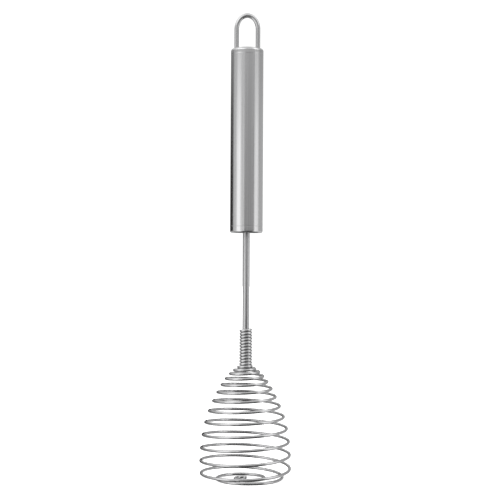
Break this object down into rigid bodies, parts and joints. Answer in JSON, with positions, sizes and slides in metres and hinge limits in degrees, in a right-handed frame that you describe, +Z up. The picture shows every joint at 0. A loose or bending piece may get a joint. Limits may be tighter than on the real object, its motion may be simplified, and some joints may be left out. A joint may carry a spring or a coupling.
{
  "type": "spiral whisk",
  "caption": "Upright spiral whisk: hollow brushed steel grip with a wire hanging loop, a thin rod shaft and a springy beehive coil of wire that presses flat to beat and mix",
  "frame": {"origin": "on the ground under the middle of the coil's flat foot, on the whisk's axis", "axes": "+Z up along the whisk from the coil to the hanging loop, X across the hanging loop, Y through the eye of the loop"},
  "size_m": [0.0534, 0.0534, 0.2726],
  "materials": {
    "brushed_grip": "satin stainless steel, finely brushed along its length",
    "cap_steel": "satin stainless steel, smoother than the tube",
    "loop_wire": "polished stainless steel wire",
    "shaft_rod": "polished stainless steel rod",
    "coil_wire": "bright drawn stainless spring wire"
  },
  "bodies": {
    "handle": {"handle_tube": "brushed_grip", "top_cap": "cap_steel", "base_cap": "cap_steel", "hanging_loop": "loop_wire", "shaft": "shaft_rod"},
    "coil": {"whisk_coil": "coil_wire"}
  },
  "joints": [
    {"name": "coil_press", "type": "slide", "parent": "handle", "child": "coil", "axis": [0, 0, 1], "range_m": [0, 0.03], "stiffness_N_per_m": 48, "deforming": ["whisk_coil"]}
  ]
}
